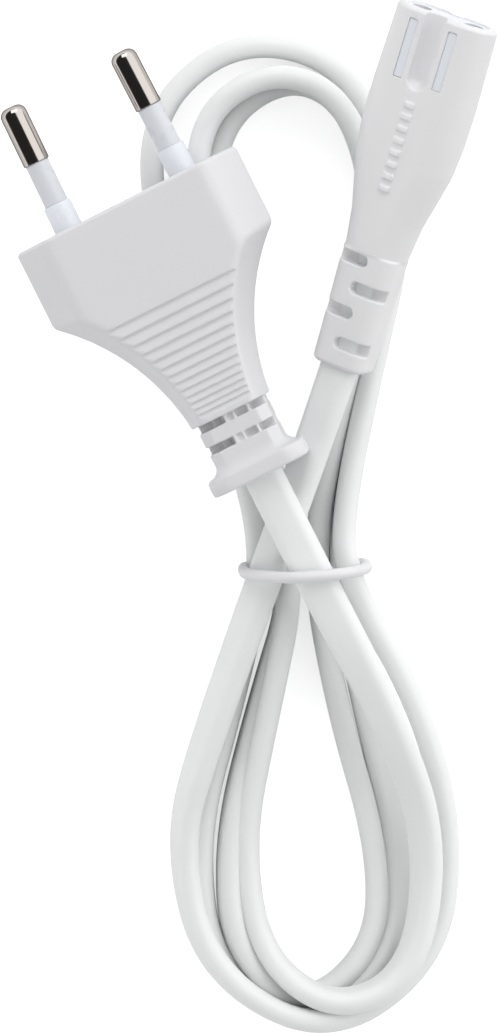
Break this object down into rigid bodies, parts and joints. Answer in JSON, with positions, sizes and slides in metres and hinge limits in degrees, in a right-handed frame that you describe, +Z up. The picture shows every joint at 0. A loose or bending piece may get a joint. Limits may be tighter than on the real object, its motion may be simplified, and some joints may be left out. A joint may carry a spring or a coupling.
{
  "type": "power cord",
  "caption": "Flat white power cord laid up as a tied hank, with a flat round-pin mains plug at one end and a figure-8 appliance connector at the other.",
  "frame": {"origin": "middle of the bounding box, on the table the hank lies on", "axes": "+Y along the hank towards plug and connector, +Z up from the table"},
  "size_m": [0.0714, 0.1558, 0.0312],
  "materials": {
    "moulding": "satin soft PVC",
    "insert": "hard plastic, slightly bluish",
    "nickel": "polished nickel plating",
    "sheath": "satin soft PVC",
    "tie": "plain elastic"
  },
  "bodies": {
    "root": {"plug_body": "moulding", "pin_carrier": "insert", "pin_left": "nickel", "pin_right": "nickel", "pin_sleeve_left": "insert", "pin_sleeve_right": "insert", "cable": "sheath", "cable_tie": "tie", "connector_body": "moulding", "contact_carrier": "insert", "contact_left": "nickel", "contact_right": "nickel"}
  },
  "joints": []
}
